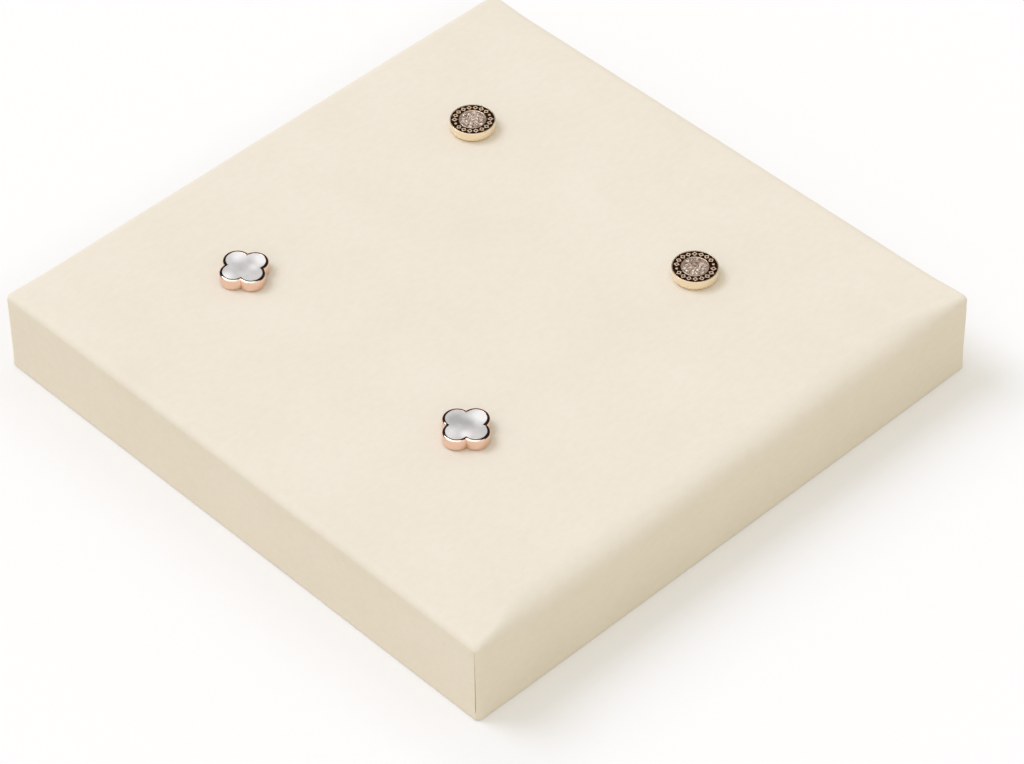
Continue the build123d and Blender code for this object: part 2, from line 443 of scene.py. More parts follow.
def copy_of(piece, name, place=ORIGIN, turn=0.0, scale=UNSCALED):
    """A copy with its own mesh, moved, turned about the upright axis and scaled."""
    only(piece)
    bpy.ops.object.duplicate(linked=False)
    copy = bpy.context.object
    copy.name = copy.data.name = name
    copy.location, copy.rotation_euler, copy.scale = place, (0, 0, turn), scale
    return settle(copy)


def join(first, *others):
    """Makes several meshes one, under the first one's name."""
    only(first, *others)
    bpy.ops.object.join()
    return first


def finish_with(piece, kind, **settings):
    """Adds a modifier and applies it."""
    modifier = piece.modifiers.new(kind.title(), kind)
    for name, value in settings.items():
        setattr(modifier, name, value)
    only(piece)
    bpy.ops.object.modifier_apply(modifier=modifier.name)


def cut(piece, cutter):
    """Takes the cutter's volume out of the piece, and removes the cutter."""
    finish_with(piece, "BOOLEAN", operation="DIFFERENCE", solver="EXACT", object=cutter)
    bpy.data.objects.remove(cutter)
    return piece


def smooth(piece, limit=35):
    only(piece)
    bpy.ops.object.shade_smooth_by_angle(angle=radians(limit))
    return piece


def wear(piece, finish, body, slot, *nodes):
    """Gives a finished piece its material and body, and hides the CAD nodes that it stands for. Its
    slot is not used.
    """
    piece.data.materials.clear()
    piece.data.materials.append(finish)
    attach(piece, body)
    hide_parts(*nodes)


def wear_node(node, finish):
    """Gives a CAD node that stays in view its material."""
    slots = frame["nodes"][node].data.materials
    slots.clear()
    slots.append(finish)


# Shader maths


class Value:
    """An output socket that Python's operators carry on into Math nodes."""

    def __init__(self, finish, socket):
        self.finish = finish
        self.socket = socket

    def math(self, operation, *others):
        inputs = dict(enumerate((self, *others)))
        return self.finish.node("ShaderNodeMath", {"operation": operation}, inputs)

    def __add__(self, other):
        return self.math("ADD", other)

    def __mul__(self, other):
        return self.math("MULTIPLY", other)

    def over(self, other):
        """The larger of two values."""
        return self.math("MAXIMUM", other)

    def clipped(self):
        return self.math("MINIMUM", 1.0).over(0.0)


class Finish:
    """A node tree in the making."""

    def __init__(self, tree):
        self.tree = tree

    def join(self, value, socket):
        if isinstance(value, Value):
            self.tree.links.new(value.socket, socket)
        else:
            socket.default_value = value

    def node(self, kind, settings=None, inputs=None, output=0):
        """One node: its settings first, then the values or links of its sockets."""
        made = self.tree.nodes.new(kind)
        for name, value in (settings or {}).items():
            setattr(made, name, value)
        for name, value in (inputs or {}).items():
            self.join(value, made.inputs[name])
        return Value(self, made.outputs[output])

    def place(self):
        return self.node("ShaderNodeTexCoord", output="Object")

    def stretched(self, scale):
        """Object coordinates, scaled along each axis."""
        return self.node("ShaderNodeMapping", {}, {"Vector": self.place(), "Scale": scale})

    def cloud(self, scale, detail=3.0, rough=0.55, place=None, warp=0.0):
        """Soft noise from 0 to 1, at so many cells a metre."""
        inputs = {
            "Vector": place or self.place(),
            "Scale": scale,
            "Detail": detail,
            "Roughness": rough,
            "Distortion": warp,
        }
        return self.node("ShaderNodeTexNoise", {}, inputs)

    def cells(self, scale, feature="F1", output="Distance"):
        """Voronoi cells, at so many a metre."""
        inputs = {"Vector": self.place(), "Scale": scale}
        return self.node("ShaderNodeTexVoronoi", {"feature": feature}, inputs, output)

    def between(self, factor, low, high):
        """A colour between two others. The first may be given as a share of the second."""
        if isinstance(low, float):
            low = [c * low for c in high]
        inputs = {0: factor, 6: full(low), 7: full(high)}
        return self.node("ShaderNodeMix", {"data_type": "RGBA"}, inputs, output=2)

    def steps(self, factor, *stops):
        """A ramp through (position, colour) stops."""
        ramp = self.node("ShaderNodeValToRGB", {}, {"Fac": factor})
        elements = ramp.socket.node.color_ramp.elements
        while len(elements) < len(stops):
            elements.new(1.0)
        for element, (position, shade) in zip(elements, stops):
            element.position = position
            element.color = full(shade)
        return ramp

    def spread(self, value, low, high, to_low=0.0, to_high=1.0):
        """Maps one range of values to another, and stays inside it."""
        settings = {"clamp": True, "interpolation_type": "SMOOTHSTEP"}
        inputs = {0: value, 1: low, 2: high, 3: to_low, 4: to_high}
        return self.node("ShaderNodeMapRange", settings, inputs)

    def vectors(self, operation, one, other):
        """The number that an operation on two vectors gives."""
        settings = {"operation": operation}
        return self.node("ShaderNodeVectorMath", settings, {0: one, 1: other}, "Value")

    def along(self, vector, way):
        """How far a vector reaches along a fixed direction."""
        return self.vectors("DOT_PRODUCT", vector, way)

    def near(self, centre, radius):
        """1 at a point of the object, and 0 from a radius away."""
        return self.spread(self.vectors("DISTANCE", self.place(), centre), 0.0, radius, 1.0, 0.0)

    def relief(self, height, distance, strength=1.0):
        """A bump of so many metres."""
        inputs = {"Height": height, "Distance": distance, "Strength": strength}
        return self.node("ShaderNodeBump", {}, inputs)


def full(shade):
    """A colour with its alpha, or a link as it is."""
    return shade if isinstance(shade, Value) else (*shade, 1.0)


class Material(Finish):
    """A material with one Principled shader, whose plain sockets are set by name."""

    def __init__(self, name, **plain):
        self.material = bpy.data.materials.new(name)
        self.material.use_nodes = True
        super().__init__(self.material.node_tree)
        self.shader = self.tree.nodes["Principled BSDF"]
        self.feed(**plain)

    def feed(self, **sockets):
        """Sets or links the shader's sockets, named with underscores."""
        for name, value in sockets.items():
            self.join(value, self.shader.inputs[name.replace("_", " ")])
        return self.material


def microfibre(colours):
    """Short nap: a tone mottled by the lie of the pile, and a fine fibre relief."""
    sheen = {"Sheen_Weight": 0.12, "Sheen_Roughness": 0.45, "Sheen_Tint": (1.0, 0.97, 0.92, 1.0)}
    m = Material("microfibre", Specular_IOR_Level=0.15, **sheen)
    lay = m.cloud(55, detail=2.0)
    brushed = m.cloud(900, detail=3.0, place=m.stretched((1.0, 0.55, 1.0)))
    fibre = m.cloud(5200, detail=2.0, rough=0.7)
    tone = (lay * 0.35 + brushed * 0.35 + fibre * 0.3).clipped()
    shade = m.between(m.spread(tone, 0.3, 0.7, 0.2, 1.0), colours.cloth_deep, colours.cloth)
    nap = m.relief(brushed * 0.5 + fibre, 0.05 * MM, 0.55)
    return m.feed(Base_Color=shade, Roughness=m.spread(fibre, 0.3, 0.7, 0.85, 1.0), Normal=nap)


def foam(colours):
    """Open cells, cut through, with painted shade in their pits."""
    m = Material("foam", Specular_IOR_Level=0.2)
    bubbles = m.cells(1900)
    # Painted shade: the colour is darker in the pits of the cells, where the relief is low
    shade = m.between(m.spread(bubbles, 0.1, 0.6), 0.72, colours.foam)
    skin = m.relief(bubbles, 0.2 * MM, 0.8)
    return m.feed(Base_Color=shade, Roughness=m.spread(bubbles, 0.0, 1.0, 0.8, 1.0), Normal=skin)


def fibreboard(colours):
    """Pressed wood fibres with a sanded face."""
    m = Material("fibreboard", Specular_IOR_Level=0.3)
    fibres = m.cloud(1500, detail=5.0, rough=0.7, place=m.stretched((0.4, 0.4, 2.2)))
    return m.feed(
        Base_Color=m.between(fibres, 0.7, colours.fibreboard),
        Roughness=m.spread(fibres, 0.2, 0.8, 0.65, 0.85),
        Normal=m.relief(fibres, 0.05 * MM),
    )


def greyboard(colours):
    """Recycled board with flecks."""
    m = Material("greyboard", Specular_IOR_Level=0.25)
    pulp = m.cloud(700, detail=6.0, rough=0.75)
    fleck = m.spread(m.cells(2400), 0.05, 0.16)
    return m.feed(
        Base_Color=m.between(pulp * fleck, 0.6, colours.greyboard),
        Roughness=m.spread(pulp, 0.2, 0.8, 0.8, 0.95),
        Normal=m.relief(pulp, 0.04 * MM),
    )


def liner_paper(colours):
    """Paper embossed with a fine leather grain, with painted shade in its valleys."""
    m = Material("liner_paper", Specular_IOR_Level=0.35)
    valley = m.spread(m.cells(950, feature="DISTANCE_TO_EDGE"), 0.02, 0.16)
    # Painted shade: the paper is darker in the valleys of its emboss
    shade = m.between(valley, 0.82, colours.paper)
    emboss = m.relief(valley + m.cloud(3000) * 0.3, 0.06 * MM)
    return m.feed(Base_Color=shade, Roughness=m.spread(valley, 0.0, 1.0, 0.7, 0.5), Normal=emboss)


def metal(name, shade, rough=0.12, metallic=1.0):
    """Polished metal with faint polishing marks and a slightly deeper tone in them."""
    m = Material(name, Metallic=metallic)
    haze = m.cloud(420, detail=4.0)
    marks = m.cloud(9000, detail=2.0, place=m.stretched((1.0, 1.0, 0.12)))
    return m.feed(
        Base_Color=m.between(m.spread(haze * 0.6 + marks * 0.4, 0.3, 0.7), 0.93, shade),
        Roughness=m.spread(haze, 0.25, 0.75, rough * 0.8, rough * 1.3),
        Normal=m.relief(marks, 0.004 * MM, 0.35),
    )


def enamel(colours):
    """Dark glossy enamel with a trace of red and a hardly uneven surface."""
    m = Material("dark_enamel", Coat_Weight=0.6, Coat_Roughness=0.04, Specular_IOR_Level=0.5)
    pool = m.cloud(900, detail=2.0)
    lighter = [c * 2.4 for c in colours.enamel]
    return m.feed(
        Base_Color=m.between(m.spread(pool, 0.3, 0.7), colours.enamel, lighter),
        Roughness=m.spread(pool, 0.3, 0.7, 0.08, 0.18),
        Normal=m.relief(pool, 0.01 * MM),
    )


def stone(colours):
    """Small faceted stones: painted glints and painted shaded facets that change from facet to
    facet, round painted shade in the middle.
    """
    m = Material("clear_stone", IOR=1.6, Coat_Weight=0.15, Coat_Roughness=0.03)
    glint = m.cells(4200, output="Color")
    # Painted light: the stone's colour made darker and lighter by cells, up to a white painted
    # glint
    painted_facet_light = m.steps(
        glint * 1.0,
        (0.28, [c * 0.35 for c in colours.stone]),
        (0.42, [c * 0.85 for c in colours.stone]),
        (0.60, [min(1.0, c * 1.35) for c in colours.stone]),
        (0.72, (1.0, 0.93, 0.84)),
    )
    # Painted shade in the middle of each stone, from the attribute that its mesh carries
    painted_centre_shade = m.node("ShaderNodeAttribute", {"attribute_name": PAINTED_CENTRE_SHADE}, output="Fac")
    shade = m.between(m.spread(painted_centre_shade, 0.45, 0.8), painted_facet_light, colours.stone_painted_shade)
    return m.feed(Base_Color=shade, Roughness=m.spread(glint, 0.2, 0.8, 0.05, 0.2))


def shell(stud, colours):
    """Mother-of-pearl: bright and dark drifts at their places under a clear polish, partly the
    shell's own tone and partly painted sheen and shade.
    """
    m = Material(
        stud + "_pearl_shell", Coat_Weight=0.4, Coat_Roughness=0.12, Specular_IOR_Level=0.4
    )
    waves = m.cloud(420, detail=1.0, rough=0.4)
    fine = m.cloud(1500, detail=3.0, place=m.stretched((0.35, 1.0, 1.0)), warp=0.5)
    tone = waves * 0.3 + fine * 0.16 + 0.2
    place = stud_place(stud)
    top = Vector((place.x, place.y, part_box("clover_stud_b_case")[1].z))
    # Painted sheen and shade, partly the shell's own tone: brighter and darker drifts at set places
    for x, y, reach, strength in SHELL_TONE_AND_SHEEN_DRIFTS[stud]:
        tone = tone + m.near(top + Vector((x, y, 0)) * MM, reach * MM) * strength
    stops = ((0.2, colours.shell_shade), (0.45, colours.shell), (0.85, colours.shell_bright_and_painted_sheen))
    rosy = m.cloud(300, detail=1.0, place=m.stretched((1.0, 1.3, 1.0)))
    blush = m.spread(rosy, 0.5, 0.7, 0.0, 0.25)
    return m.feed(
        Base_Color=m.between(blush, m.steps(tone.clipped(), *stops), colours.shell_blush),
        Roughness=m.spread(waves, 0.2, 0.8, 0.18, 0.32),
        Normal=m.relief(waves, 0.02 * MM),
    )


# The pad


def round_roll(radius, top, steps):
    """The (inset, height) points of a quarter circle that ends level, without its first."""
    turns = [pi / 2 * i / steps for i in range(1, steps + 1)]
    return [(radius * (1 - cos(turn)), top - radius + radius * sin(turn)) for turn in turns]


def rounded_loop(name, side, corner, height, cuts):
    """A square loop of edges with round corners, its straight sides divided."""
    loop = add(bpy.ops.mesh.primitive_plane_add, name, size=side, location=(0, 0, height))
    with editing(loop):
        select_all()
        bpy.ops.mesh.bevel(offset=corner, segments=16, affect="VERTICES", profile=0.5)
        pick("EDGE", lambda e: e.calc_length() > side / 2)
        bpy.ops.mesh.subdivide(number_cuts=cuts)
        bpy.ops.mesh.select_mode(type="FACE")
        select_all()
        bpy.ops.mesh.delete(type="ONLY_FACE")
    return loop


def fill_top():
    """Fills the selected square loop with a grid whose corners are the loop's own corners."""
    mesh = bmesh.from_edit_mesh(bpy.context.object.data)
    ring = [v for v in mesh.verts if v.select]
    mesh.select_history.clear()
    mesh.select_history.add(max(ring, key=lambda v: v.co.x + v.co.y))
    bmesh.update_edit_mesh(bpy.context.object.data)
    bpy.ops.mesh.fill_grid(span=len(ring) // 4, offset=0, use_interp_simple=False)


def soft_block(name, side, corner, levels, cuts, shape=None, open_foot=False):
    """A rounded square carried through (inset, height) levels and closed by a grid.

    The shape may change the inset and height of a level from place to place."""
    piece = rounded_loop(name, side, corner, levels[0][1], cuts)
    half = side / 2
    ring = len(piece.data.vertices)
    with editing(piece):
        bpy.ops.mesh.select_mode(type="VERT")
        select_all()
        first = (half - levels[0][0]) / half
        bpy.ops.transform.resize(value=(first, first, 1), center_override=ORIGIN)
        follow([(half - inset, height) for inset, height in levels])
        fill_top()
        if not open_foot:
            select_all()
            bpy.ops.mesh.fill_holes(sides=0)
        face_outwards()
    if shape:
        reshape(piece, half, levels, ring, shape)
    return piece


def reshape(piece, half, levels, ring, shape):
    """Gives each level of a block its shape. The grid on top follows its edge, less further in."""
    last, top = levels[-1]
    for vertex in piece.data.vertices:
        level = vertex.index // ring
        if level < len(levels):
            inset, height = levels[level]
            outer = vertex.co * half / (half - inset)
            inset, height = shape(outer, inset, height)
        else:
            inset = half - max(abs(vertex.co.x), abs(vertex.co.y))
            if inset > half / 2:
                continue
            outer = vertex.co * half / (half - inset)
            edge, _ = shape(outer, last, top)
            inset += (edge - last) * exp((last - inset) / GRID_REACH)
            _, height = shape(outer, inset, top)
        vertex.co = (outer.x * (half - inset) / half, outer.y * (half - inset) / half, height)


def bend(start, stop, up, across, share):
    """A point of the curve that leaves its start upwards and reaches its end level."""
    left = 1 - share
    handles = (start, start + up, stop - across, stop)
    weights = (left**3, 3 * left**2 * share, 3 * left * share**2, share**3)
    return sum((h * w for h, w in zip(handles, weights)), Vector((0, 0)))


def drooping(c, half, x, y):
    """How far the top has sunk at a place."""
    along_back, along_left = (half - x) / (2 * half), (half - y) / (2 * half)
    sides = (
        (2 * c.droop, half - x),
        (c.droop + c.back_droop * along_back**BACK_FADE, half - y),
        (c.left_droop * along_left**LEFT_FADE, half + x),
    )
    return sum(amount * exp(-away / c.droop_reach) for amount, away in sides)


def side_roll(c, outer, edge):
    """Height and width of the roll on the side that a point is on."""
    if outer.x > edge:
        return c.slack_roll, c.slack_width
    if outer.y > edge:
        return c.back_roll, c.back_width
    if -outer.x > edge:
        return c.far_roll, c.far_width
    return c.roll, c.roll_width


def uneven_roll(c, half, top, foot, old, ease=0.0):
    """The soft form of the wrapped pad, for levels that carry a round roll of the old radius."""
    edge = half - c.corner
    wall = top - old - foot

    def shape(outer, inset, height):
        nearest = max(0.0, edge - min(abs(outer.x), abs(outer.y)))
        slack = outer.x > edge
        tight = exp(-((nearest / (c.slack_reach if slack else c.corner_reach)) ** 2))
        low = max(0.0, (height - foot) / FLARE_RISE)
        under = max(0.0, 1 - inset / UNDER_REACH)
        flare = c.flare * (2 - tight if slack else 1.0) * exp(-low) * under
        if height <= foot:
            rest = min(1.0, max(0.0, (height - c.bottom) / c.fold))
            return inset - flare, height - c.sag * (1 - rest) * under
        deep, wide = side_roll(c, outer, edge)
        deep = min(deep + (c.corner_roll - deep) * tight + ease, MOST_ROLL * (top - foot))
        wide = wide + (c.corner_roll - wide) * tight + ease
        lean = c.slack_lean * (1 - tight) if slack else 0.0
        inner = (half - max(inset, wide)) / half
        crest = top - drooping(c, half, outer.x * inner, outer.y * inner)
        if height <= top - old:
            share = (height - foot) / wall
            below = (1 - share) * wall
            hollow = c.bulge * (1 - tight) * below / BULGE_DROP * exp(1 - below / BULGE_DROP)
            stand = 0.0 if slack else hollow
            back = lean * max(0.0, 1 - below / LEAN_DROP) ** 2
            return inset + back + stand - flare, foot + share * (crest - deep - foot)
        share = asin(min(1.0, (height - top + old) / old)) / (pi / 2)
        up = Vector((SLACK_TILT * (1 - tight) if slack else 0.0, 1.0)) * UP_HANDLE * deep
        across = Vector((ACROSS_HANDLE * (wide - lean), 0))
        return bend(Vector((lean, crest - deep)), Vector((wide, crest)), up, across, share)

    return shape


def post_cutters(radius, bottom, top):
    """Pins that prick the holes for the posts."""
    return join(*[peg("pin", radius, bottom, top, *stud_place(stud).xy) for stud in STUDS])


def wander(piece, amount, cell, calm_places, calm_radius):
    """Moves a soft surface a little, with its two skins together, and not under the heads."""
    noise.seed_set(CLOTH_SEED)
    for vertex in piece.data.vertices:
        p = vertex.co
        gaps = [hypot(p.x - place.x, p.y - place.y) - calm_radius for place in calm_places]
        calm = min([1.0] + [max(0.0, gap / calm_radius) for gap in gaps])
        vertex.co = p + noise.noise_vector(p / cell) * amount * calm


def cover_levels(c):
    """The skin from the hem's inner edge, under the board, up the side and over the roll."""
    hem_steps, fold_steps, side_steps, roll_steps = 6, 5, 18, 12
    levels = [(c.hem, c.bottom)]
    for i in range(1, hem_steps + 1):
        levels.append((c.hem - (c.hem - c.fold) * i / hem_steps, c.bottom))
    for i in range(1, fold_steps + 1):
        turn = pi / 2 * i / fold_steps
        levels.append((c.fold * (1 - sin(turn)), c.bottom + c.fold * (1 - cos(turn))))
    rise = c.top - c.roll - c.bottom - c.fold
    for i in range(1, side_steps + 1):
        levels.append((0, c.bottom + c.fold + rise * i / side_steps))
    return levels + round_roll(c.roll, c.top, roll_steps)


def close_seams(piece, c):
    """Draws the upright corner seams in, with a small pucker at the head of each."""
    seam_width = 0.02  # radians to each side
    head_share = 0.35  # of the seam's depth, at its head
    mitre_share = 0.6  # of the seam's depth, where the hem is mitred
    above, pucker_height, pucker_width, pucker_depth = 0.2, 0.7, 0.4, 0.3  # millimetres
    stop = c.top - c.seam_stop
    reach = c.side / 2 - c.corner
    outside = reach * sqrt(2) + c.corner - c.thickness / 2
    for vertex in piece.data.vertices:
        p = vertex.co
        away = hypot(p.x, p.y)
        if away > outside:
            inward = Vector((-p.x / away, -p.y / away, 0))
            centre = Vector((reach if p.x > 0 else -reach, reach if p.y > 0 else -reach))
            turn = (p.xy - centre).angle_signed(centre) - c.seam_turn
            if abs(turn) < seam_width and p.z < stop + above * MM:
                drop = head_share + (1 - head_share) * (stop - p.z) / (stop - c.bottom)
                vertex.co = p + inward * c.seam_depth * min(1.0, drop)
            up, aside = (p.z - stop) / (pucker_height * MM), turn * c.corner / (pucker_width * MM)
            vertex.co += inward * exp(-(up**2) - aside**2) * pucker_depth * MM
        elif p.z < c.bottom + c.thickness / 2 and abs(abs(p.x) - abs(p.y)) < TOUCHING:
            vertex.co = p + Vector((0, 0, c.seam_depth * mitre_share))


def make_cover(scene):
    c = scene.tray_cover
    shape = uneven_roll(c, c.side / 2, c.top, c.bottom + c.fold, c.roll)
    cover = soft_block(
        "microfibre_cover", c.side, c.corner, cover_levels(c), cuts=63, shape=shape, open_foot=True
    )
    finish_with(cover, "SOLIDIFY", thickness=c.thickness, offset=-1, use_even_offset=True)
    close_seams(cover, c)
    heads = [stud_place(stud) for stud in STUDS]
    wander(cover, c.unevenness, 9 * MM, heads, 5 * MM)
    hole = scene.tray_padding.hole
    cut(cover, post_cutters(hole, c.top - 2 * c.thickness, c.top + c.thickness))
    wear(smooth(cover, 50), microfibre(scene.tray_colours), "tray", "microfibre", "wrap_cover")


def make_padding(scene):
    """The foam topper over the frame and the foam insert inside it."""
    p, c = scene.tray_padding, scene.tray_cover
    finish = foam(scene.tray_colours)
    low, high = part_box("foam_topper")
    levels = [(0, low.z), (0, high.z - p.foam_roll), *round_roll(p.foam_roll, high.z, 8)]
    shape = uneven_roll(c, high.x, high.z, low.z, p.foam_roll, ease=p.foam_ease)
    topper = soft_block("soft_topper", high.x - low.x, p.foam_corner, levels, cuts=31, shape=shape)
    cut(topper, post_cutters(p.hole, low.z - MM, high.z + MM))
    wear(smooth(topper), finish, "tray", "foam", "foam_topper")

    low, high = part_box("foam_insert")
    waist = [0.0, 0.10 * MM, 0.16 * MM, 0.18 * MM, 0.16 * MM, 0.10 * MM, 0.0]
    foot = low.z + p.cut_edge
    rise = high.z - low.z - 2 * p.cut_edge
    levels = [(p.cut_edge, low.z), (0, foot)]
    levels += [(w, foot + rise * (i + 1) / len(waist)) for i, w in enumerate(waist)]
    levels += [(p.cut_edge, high.z)]
    insert = soft_block("foam_block", high.x - low.x, p.cut_edge, levels, cuts=31)
    cut(insert, post_cutters(p.hole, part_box("round_stud_a_post")[0].z - MM, high.z + MM))
    wear(smooth(insert), finish, "tray", "foam", "foam_insert")


def make_liner(scene):
    """Paper glued over the hem, which sinks a little inside it."""
    p, c = scene.tray_padding, scene.tray_cover
    low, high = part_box("base_liner")
    grid = {"x_subdivisions": 114, "y_subdivisions": 114, "size": high.x - low.x}
    place = (0, 0, low.z)
    liner = add(bpy.ops.mesh.primitive_grid_add, "paper_liner", location=place, **grid)
    edge = c.side / 2 - c.hem
    for vertex in liner.data.vertices:
        inside = edge - max(abs(vertex.co.x), abs(vertex.co.y))
        t = min(1.0, max(0.0, inside / p.step_width + 0.5))
        vertex.co.z += p.step * t * t * (3 - 2 * t)
    finish_with(liner, "SOLIDIFY", thickness=p.paper, offset=1)
    wear(smooth(liner), liner_paper(scene.tray_colours), "tray", "liner_paper", "base_liner")


def make_base(scene):
    """The liner, and the finishes of the board and the rails."""
    make_liner(scene)
    wear_node("base_board", greyboard(scene.tray_colours))
    rail = fibreboard(scene.tray_colours)
    for side in ("right", "back", "left", "front"):
        wear_node("frame_rail_" + side, rail)


# The heads


def stud_place(stud):
    """The middle of a stud's post, in the tray's plane."""
    low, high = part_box(stud + "_post")
    return Vector(((low.x + high.x) / 2, (low.y + high.y) / 2, 0))


def dress_heads(studs, turns, case, looks, post_finish):
    """Copies the pieces of a head to each stud, gives the posts a finish, and removes the first."""
    base = Vector((0, 0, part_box(case)[0].z))
    for stud, turn in zip(studs, turns):
        place = stud_place(stud) + base
        for name, piece, finish, slot, node in looks(stud):
            copy = copy_of(piece, f"{stud}_{name}", place, turn)
            wear(copy, finish, stud, slot, f"{stud}_{node}")
        wear_node(stud + "_post", post_finish)
    for _, piece, *_ in looks(studs[0]):
        bpy.data.objects.remove(piece)


# The round heads


def stone_places(s):
    """A triangular grid of 19 stones, and the middle of each triangle of three."""
    pitch = s.stone + s.stone_gap
    grid = [(a, b) for a in range(-2, 3) for b in range(-2, 3) if abs(a + b) <= 2]
    spot = {(a, b): (pitch * (a + b / 2), pitch * b * sqrt(3) / 2) for a, b in grid}
    trios = []
    for a, b in grid:
        for trio in (((a, b), (a + 1, b), (a, b + 1)), ((a, b), (a + 1, b), (a + 1, b - 1))):
            if all(place in spot for place in trio):
                trios.append([sum(spot[place][k] for place in trio) / 3 for k in range(2)])
    return list(spot.values()), trios


def scatter(piece, places, height, name):
    """Copies a small piece to each place and joins them."""
    copies = [copy_of(piece, name, (x, y, height)) for x, y in places]
    bpy.data.objects.remove(piece)
    joined = join(*copies)
    joined.name = name
    return joined


def round_marks(s, rim, collar, bottom, top):
    """Open lozenges round the border, and a dot at every so many places."""
    width, ring = rim - collar, (rim + collar) / 2
    size = (LOZENGE_WIDTH * width / 2, LOZENGE_LENGTH * width / 2, 1)
    place = {"location": (0, 0, bottom), "rotation": (0, 0, pi / 2)}
    face = {"vertices": 4, "fill_type": "NGON"}
    lozenge = add(bpy.ops.mesh.primitive_circle_add, "lozenge", size, **face, **place)
    with editing(lozenge):
        select_all()
        bpy.ops.mesh.inset(thickness=0)
        bpy.ops.transform.resize(value=(WINDOW, WINDOW, 1), center_override=(0, 0, bottom))
        bpy.ops.mesh.delete(type="ONLY_FACE")
        select_all()
        extrude(top - bottom)
        face_outwards()
        pick("EDGE", lambda e: as_high_as(top, e) and is_sharp(e))
        round_off(s.mark_edge, 2)
    dot = peg("dot", DOT_RADIUS * width, bottom, top)
    with editing(dot):
        pick("EDGE", lambda e: as_high_as(top, e))
        round_off(s.mark_edge, 2)
    marks = []
    for place in range(s.marks):
        shape = lozenge if place % s.dot_interval else dot
        turn = tau * place / s.marks
        marks.append(copy_of(shape, "mark", (ring * cos(turn), ring * sin(turn), 0), turn))
    bpy.data.objects.remove(lozenge)
    bpy.data.objects.remove(dot)
    return join(*marks)


def round_cup(s, radius, height):
    """The case: outside wall, rim, channel, collar and the recess for the plate."""
    plate = 2 * (s.stone + s.stone_gap) + s.stone / 2 + s.plate_margin
    rim, collar = radius - s.rim, plate + s.collar
    floor = height - s.channel
    seat = height - s.plate_sink - s.pavilion - s.plate_floor
    profile = [(radius, 0), (radius, height), (rim, height), (rim, floor)]
    profile += [(collar, floor), (collar, height), (plate, height), (plate, seat)]
    cup = turned("round_cup", profile)

    def round_the_foot(vertex):
        return abs(hypot(vertex.co.x, vertex.co.y) - radius) + abs(vertex.co.z) < TOUCHING

    with editing(cup):
        pick("EDGE", lambda e: all(round_the_foot(v) for v in e.verts))
        round_off(s.foot, 8)
        pick("EDGE", lambda e: as_high_as(height, e) and is_sharp(e))
        round_off(s.rim_polish, 3)
    return cup, plate, rim, collar, floor, seat


def border_fill(s, marks, rim, collar, floor, top):
    """The enamel: a ring in the channel, cut out round the marks."""
    fill = turned("border_enamel", [(collar, floor), (rim, floor), (rim, top), (collar, top)])
    with editing(fill):
        pick("FACE", lambda f: len(f.verts) > 8)
        bpy.ops.mesh.delete(type="ONLY_FACE")
        pick("EDGE", lambda e: e.is_boundary)
        bpy.ops.mesh.bridge_edge_loops()
        face_outwards()
    return cut(fill, copy_of(marks, "mark_cutter"))


def cut_stone(s):
    """A stone of eight sides: crown, table and point, with the painted shade in its middle marked
    on the table.
    """
    table = s.stone * s.table

    def cone(name, narrow, depth, height, turn=0):
        ends = {"vertices": 8, "radius1": s.stone / 2, "radius2": narrow}
        place = {"location": (0, 0, height), "rotation": (turn, 0, 0)}
        return add(bpy.ops.mesh.primitive_cone_add, name, depth=depth, **ends, **place)

    gem = cone("gem", table / 2, s.crown, s.crown / 2)
    join(gem, cone("point", 0, s.pavilion, -s.pavilion / 2, turn=pi))
    with editing(gem):
        pick("FACE", lambda f: abs(middle(f).z) < TOUCHING)
        bpy.ops.mesh.delete(type="ONLY_FACE")
        face_outwards()
        pick("FACE", lambda f: as_high_as(s.crown, f))
        for share in TABLE_INSETS:
            bpy.ops.mesh.inset(thickness=table * share)
    # Where the material paints shade: 1 in the middle of the table, down to 0 at its edge, and 0
    # off the table
    painted_centre_shade = gem.data.attributes.new(PAINTED_CENTRE_SHADE, "FLOAT", "POINT")
    for value, vertex in zip(painted_centre_shade.data, gem.data.vertices):
        near = 1 - hypot(vertex.co.x, vertex.co.y) / (table / 2)
        value.value = max(0.0, near) if vertex.co.z > s.crown - TOUCHING else 0.0
    return gem


def set_stones(s, radius, seat, girdle):
    """The stones in their places, and the plate that is drilled for them, with its beads."""
    gem = cut_stone(s)
    spots, trios = stone_places(s)
    drill = copy_of(gem, "drill", scale=DRILL_PLAY)
    with editing(drill):
        pick("FACE", lambda f: as_high_as(s.crown, f))
        bpy.ops.transform.resize(value=(1 / s.table, 1 / s.table, 1))
    stones = scatter(gem, spots, girdle, "stones")
    plate = turned("plate", [(radius, seat), (radius, girdle)])
    cut(plate, scatter(drill, spots, girdle, "drills"))
    ball = {"segments": 12, "ring_count": 8, "radius": s.bead}
    bead = add(bpy.ops.mesh.primitive_uv_sphere_add, "bead", BEAD_SQUASH, **ball)
    return stones, join(plate, scatter(bead, trios, girdle, "beads"))


